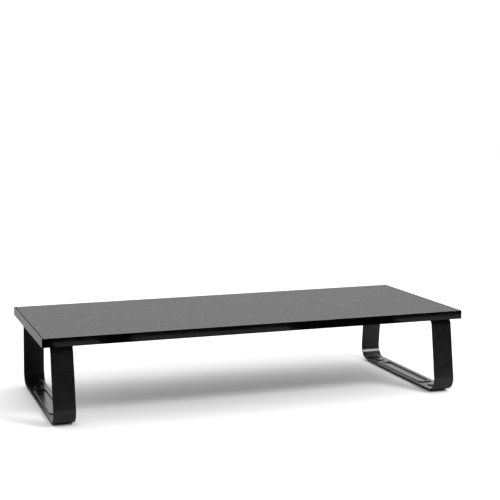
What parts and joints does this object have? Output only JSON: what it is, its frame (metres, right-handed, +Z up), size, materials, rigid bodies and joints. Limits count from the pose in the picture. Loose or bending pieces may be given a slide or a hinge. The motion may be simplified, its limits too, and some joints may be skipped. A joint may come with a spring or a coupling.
{
  "type": "desktop monitor riser",
  "caption": "Desktop monitor riser: a flat laminated board on bent steel strap legs, each with a rubber foot strip clipped through its base bar.",
  "frame": {"origin": "on the desk, under the centre of the board (centre of the bounding box's base)", "axes": "+X along the board to the right seen from the front, +Y from the front edge to the rear edge, +Z up"},
  "size_m": [0.6, 0.262, 0.119],
  "materials": {
    "laminate": "fine-textured satin black melamine",
    "edge_band": "satin black plastic edge banding",
    "particleboard": "raw pressed wood chips",
    "coated_steel": "smooth satin black powder coat",
    "rubber": "matt moulded black rubber",
    "zinc": "bright zinc plate",
    "brass": "turned brass"
  },
  "bodies": {
    "root": {"board_core": "particleboard", "top_laminate": "laminate", "bottom_laminate": "laminate", "front_edge_band": "edge_band", "rear_edge_band": "edge_band", "left_edge_band": "edge_band", "right_edge_band": "edge_band", "left_leg": "coated_steel", "right_leg": "coated_steel", "left_foot": "rubber", "right_foot": "rubber", "left_front_inserts": "brass", "left_rear_inserts": "brass", "right_front_inserts": "brass", "right_rear_inserts": "brass", "left_front_washers": "zinc", "left_rear_washers": "zinc", "right_front_washers": "zinc", "right_rear_washers": "zinc", "left_front_screws": "zinc", "left_rear_screws": "zinc", "right_front_screws": "zinc", "right_rear_screws": "zinc"}
  },
  "joints": []
}
